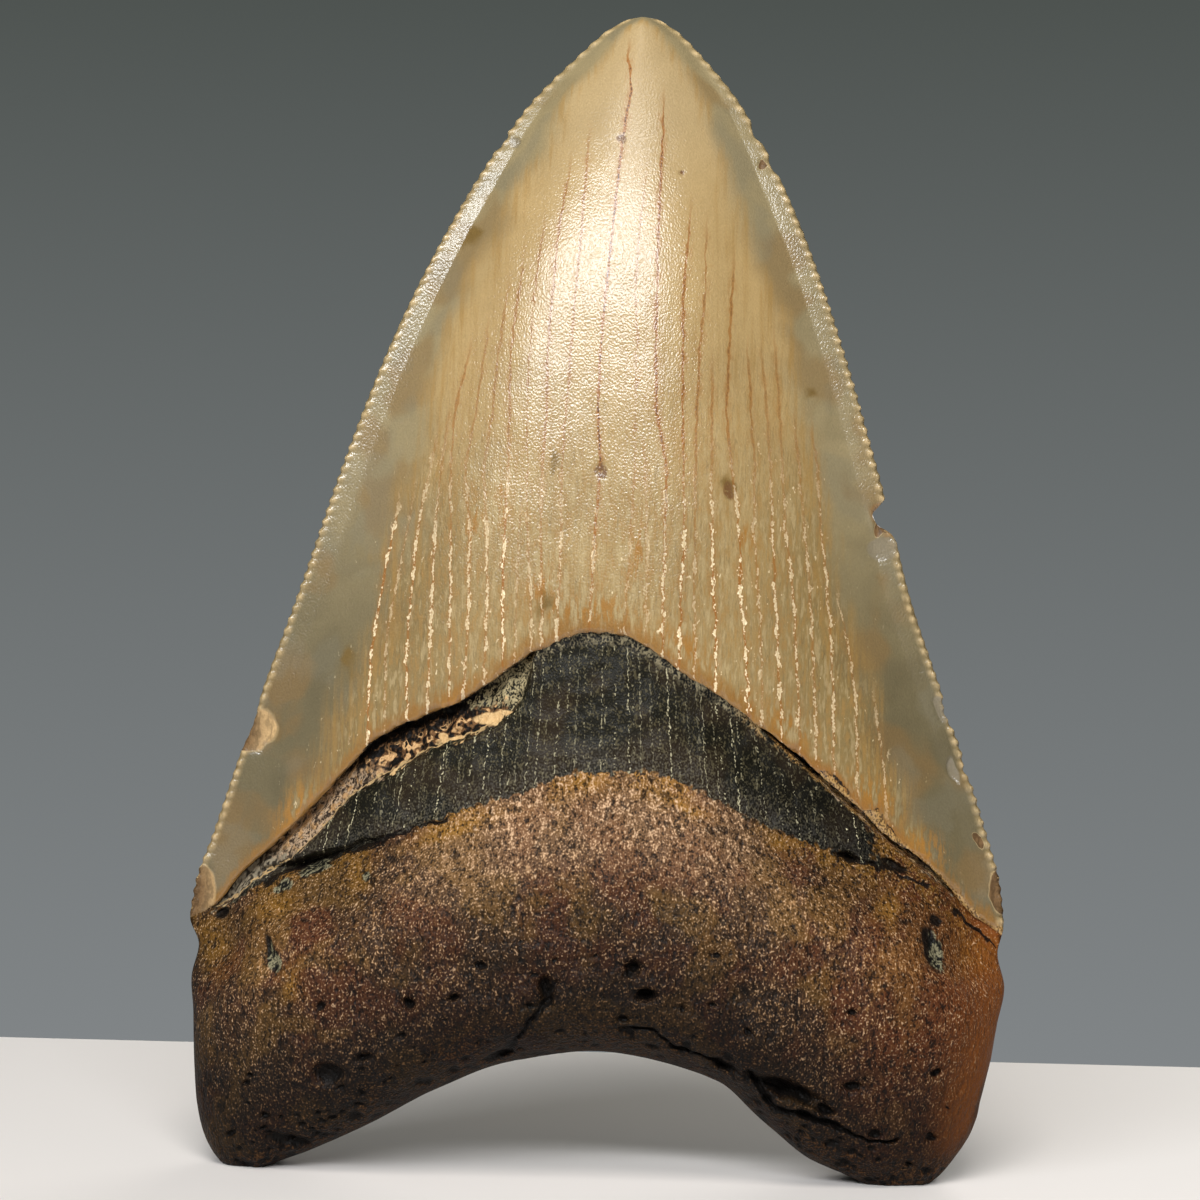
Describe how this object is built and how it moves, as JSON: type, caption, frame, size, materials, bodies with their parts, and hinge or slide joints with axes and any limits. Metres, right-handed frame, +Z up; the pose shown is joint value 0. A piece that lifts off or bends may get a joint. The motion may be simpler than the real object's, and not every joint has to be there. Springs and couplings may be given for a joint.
{
  "type": "fossil megalodon tooth",
  "caption": "Broad triangular fossil shark tooth with serrated edges and an arched two-lobed root, standing upright on its root.",
  "frame": {"origin": "middle of the tooth's box at the height of the flat spots that it stands on, between the two root lobes", "axes": "+Z up to the tip, -Y the bulging inner face that the picture shows, +X towards the right edge seen from there"},
  "size_m": [0.0822, 0.0244, 0.1161],
  "materials": {
    "fossil_tooth": "polished tan enamel over a dark, satin band and a rough dark brown root"
  },
  "bodies": {
    "root": {"tooth": "fossil_tooth"}
  },
  "joints": []
}
